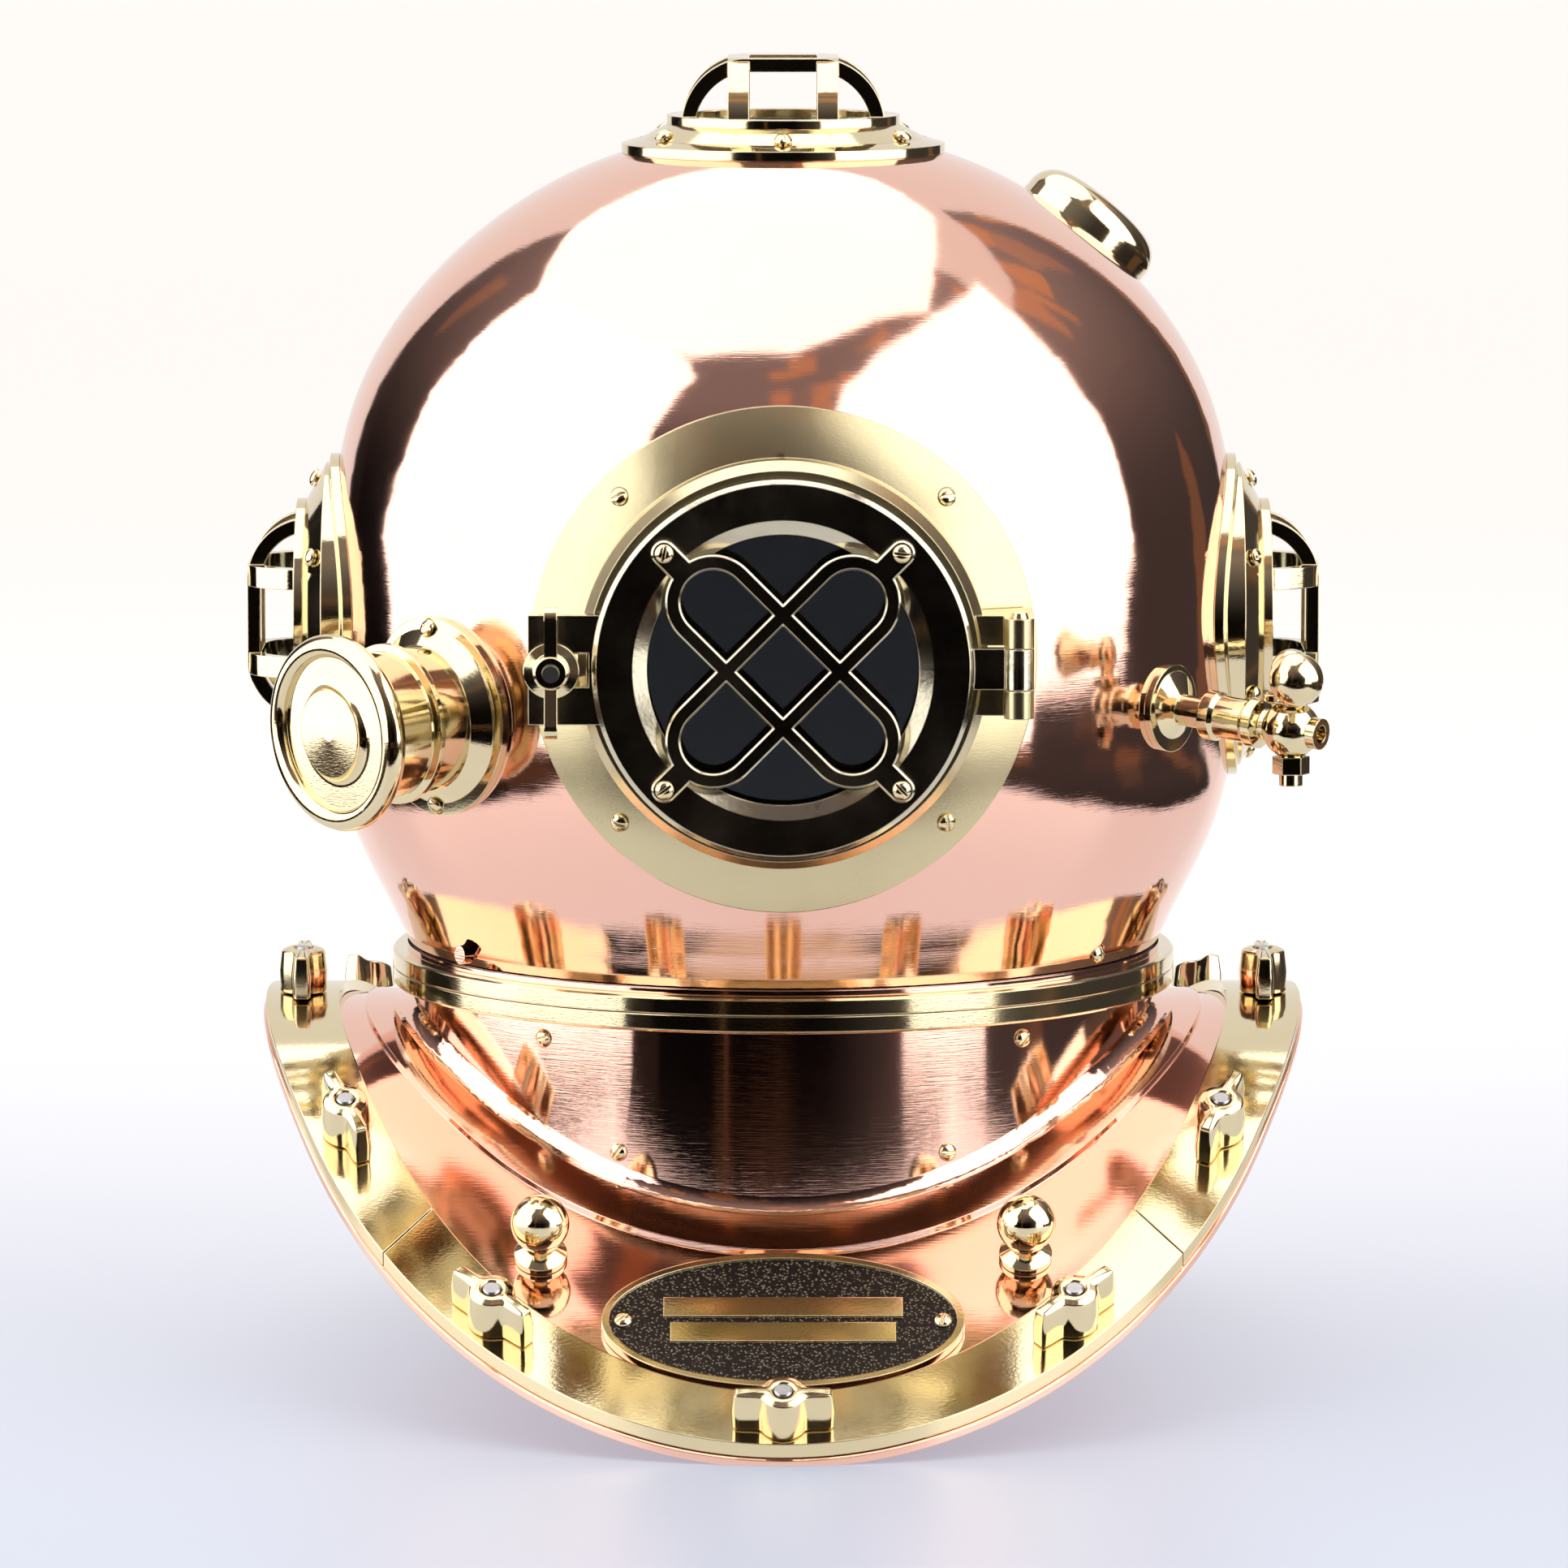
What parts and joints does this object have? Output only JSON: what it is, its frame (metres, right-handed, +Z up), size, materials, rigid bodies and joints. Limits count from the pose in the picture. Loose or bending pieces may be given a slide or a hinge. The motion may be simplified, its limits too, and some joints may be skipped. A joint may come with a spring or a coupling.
{
  "type": "diving helmet",
  "caption": "Copper and brass standard diving helmet: domed bonnet with a hinged front window, guarded side and top ports, and a bolted breastplate.",
  "frame": {"origin": "on the neck axis, at the floor that the breastplate stands on", "axes": "+Z up along the neck, -Y out of the front window, +X towards the wearer's left"},
  "size_m": [0.3752, 0.469, 0.457],
  "materials": {
    "copper": "mirror-polished copper",
    "brass": "mirror-polished pale brass",
    "dark_brass": "polished, toned dark",
    "glass": "clear plate glass, dark inside",
    "leather": "oiled",
    "rubber": "matt",
    "steel": "plated steel",
    "spring_steel": "drawn wire",
    "black": "gloss"
  },
  "bodies": {
    "breastplate": {"breastplate_shell": "copper", "neck_ring": "brass", "neck_gasket": "leather", "front_rim_strap": "brass", "left_rim_strap": "brass", "rear_rim_strap": "brass", "right_rim_strap": "brass", "rim_studs": "steel", "nameplate": "brass", "lashing_studs": "brass", "breastplate_screws": "brass"},
    "bonnet": {"bonnet_shell": "copper", "bonnet_ring": "brass", "top_port_frame": "brass", "left_port_frame": "brass", "right_port_frame": "brass", "top_port_guard": "brass", "left_port_guard": "brass", "right_port_guard": "brass", "top_port_glass": "glass", "left_port_glass": "glass", "right_port_glass": "glass", "port_gaskets": "rubber", "bonnet_screws": "brass", "front_port_frame": "brass", "door_gasket": "rubber", "hinge_pins": "brass", "exhaust_body": "brass", "valve_springs": "spring_steel", "spitcock_body": "brass", "telephone_cup": "brass", "telephone_receiver": "black", "air_elbow": "brass", "telephone_elbow": "brass", "check_valve_body": "brass", "latch_bracket": "brass"},
    "door": {"door_ring": "dark_brass", "door_glass": "glass", "door_grille": "dark_brass", "door_screws": "brass"},
    "swing_bolt": {"swing_bolt": "steel"},
    "swing_nut": {"swing_bolt_nut": "brass"},
    "exhaust_wheel": {"exhaust_wheel": "brass"},
    "exhaust_stem": {"exhaust_stem": "brass"},
    "spitcock_lever": {"spitcock_lever": "brass", "spitcock_nut": "brass"},
    "check_disc": {"check_valve_disc": "brass"},
    "rear_latch": {"rear_latch": "brass"},
    "rim_nut_01": {"wing_nut_01": "brass"},
    "rim_nut_02": {"wing_nut_02": "brass"},
    "rim_nut_03": {"wing_nut_03": "brass"},
    "rim_nut_04": {"wing_nut_04": "brass"},
    "rim_nut_05": {"wing_nut_05": "brass"},
    "rim_nut_06": {"wing_nut_06": "brass"},
    "rim_nut_07": {"wing_nut_07": "brass"},
    "rim_nut_08": {"wing_nut_08": "brass"},
    "rim_nut_09": {"wing_nut_09": "brass"},
    "rim_nut_10": {"wing_nut_10": "brass"},
    "rim_nut_11": {"wing_nut_11": "brass"},
    "rim_nut_12": {"wing_nut_12": "brass"}
  },
  "joints": [
    {"name": "bonnet_turn", "type": "hinge", "parent": "breastplate", "child": "bonnet", "pos_m": [0, 0, 0.1376], "axis": [0, 0, 1], "range_deg": [0, 45]},
    {"name": "door_hinge", "type": "hinge", "parent": "bonnet", "child": "door", "pos_m": [0.079, -0.1778, 0.261], "axis": [0, 0, 1], "range_deg": [0, 110]},
    {"name": "swing_bolt_pivot", "type": "hinge", "parent": "bonnet", "child": "swing_bolt", "pos_m": [-0.0775, -0.1628, 0.261], "axis": [0, 0, 1], "range_deg": [-93.5, 0]},
    {"name": "swing_nut_spin", "type": "hinge", "parent": "swing_bolt", "child": "swing_nut", "pos_m": [-0.0775, -0.1816, 0.261], "axis": [0, -1, 0], "continuous": true},
    {"name": "exhaust_wheel_spin", "type": "hinge", "parent": "bonnet", "child": "exhaust_wheel", "pos_m": [-0.14523, -0.13077, 0.23513], "axis": [-0.7421, -0.6682, -0.0523], "continuous": true},
    {"name": "exhaust_valve_lift", "type": "slide", "parent": "bonnet", "child": "exhaust_stem", "axis": [-0.7421, -0.6682, -0.0523], "range_m": [0, 0.006], "stiffness_N_per_m": 400, "springref_m": -0.004, "deforming": ["valve_springs"]},
    {"name": "spitcock_turn", "type": "hinge", "parent": "bonnet", "child": "spitcock_lever", "pos_m": [0.17319, -0.11682, 0.2337], "axis": [0, 0, 1], "range_deg": [0, 90]},
    {"name": "check_valve_lift", "type": "slide", "parent": "bonnet", "child": "check_disc", "axis": [-0.2333, -0.524, 0.8192], "range_m": [0, 0.004], "stiffness_N_per_m": 150, "springref_m": -0.003, "deforming": ["valve_springs"]},
    {"name": "rear_latch_pivot", "type": "hinge", "parent": "bonnet", "child": "rear_latch", "pos_m": [0, 0.1458, 0.152], "axis": [1, 0, 0], "range_deg": [-90, 0]},
    {"name": "rim_nut_01_spin", "type": "hinge", "parent": "breastplate", "child": "rim_nut_01", "pos_m": [0, -0.2172, 0.00901], "axis": [0, -0.5664, 0.8241], "continuous": true},
    {"name": "rim_nut_02_spin", "type": "hinge", "parent": "breastplate", "child": "rim_nut_02", "pos_m": [0.09793, -0.17731, 0.03643], "axis": [0, -0.5664, 0.8241], "continuous": true},
    {"name": "rim_nut_03_spin", "type": "hinge", "parent": "breastplate", "child": "rim_nut_03", "pos_m": [0.15021, -0.10073, 0.08902], "axis": [0, -0.5526, 0.8335], "continuous": true},
    {"name": "rim_nut_04_spin", "type": "hinge", "parent": "breastplate", "child": "rim_nut_04", "pos_m": [0.16955, 0, 0.12265], "axis": [0, -0.0588, 0.9983], "continuous": true},
    {"name": "rim_nut_05_spin", "type": "hinge", "parent": "breastplate", "child": "rim_nut_05", "pos_m": [0.15021, 0.10073, 0.10269], "axis": [0, 0.4349, 0.9005], "continuous": true},
    {"name": "rim_nut_06_spin", "type": "hinge", "parent": "breastplate", "child": "rim_nut_06", "pos_m": [0.09793, 0.17731, 0.04558], "axis": [0, 0.6564, 0.7544], "continuous": true},
    {"name": "rim_nut_07_spin", "type": "hinge", "parent": "breastplate", "child": "rim_nut_07", "pos_m": [0, 0.2172, 0.01087], "axis": [0, 0.6564, 0.7544], "continuous": true},
    {"name": "rim_nut_08_spin", "type": "hinge", "parent": "breastplate", "child": "rim_nut_08", "pos_m": [-0.09793, 0.17731, 0.04558], "axis": [0, 0.6564, 0.7544], "continuous": true},
    {"name": "rim_nut_09_spin", "type": "hinge", "parent": "breastplate", "child": "rim_nut_09", "pos_m": [-0.15021, 0.10073, 0.10269], "axis": [0, 0.4349, 0.9005], "continuous": true},
    {"name": "rim_nut_10_spin", "type": "hinge", "parent": "breastplate", "child": "rim_nut_10", "pos_m": [-0.16955, 0, 0.12265], "axis": [0, -0.0588, 0.9983], "continuous": true},
    {"name": "rim_nut_11_spin", "type": "hinge", "parent": "breastplate", "child": "rim_nut_11", "pos_m": [-0.15021, -0.10073, 0.08902], "axis": [0, -0.5526, 0.8335], "continuous": true},
    {"name": "rim_nut_12_spin", "type": "hinge", "parent": "breastplate", "child": "rim_nut_12", "pos_m": [-0.09793, -0.17731, 0.03643], "axis": [0, -0.5664, 0.8241], "continuous": true}
  ],
  "couplings": [
    {"joint": "swing_bolt_pivot", "follows": "door_hinge", "ratio": -0.85}
  ]
}
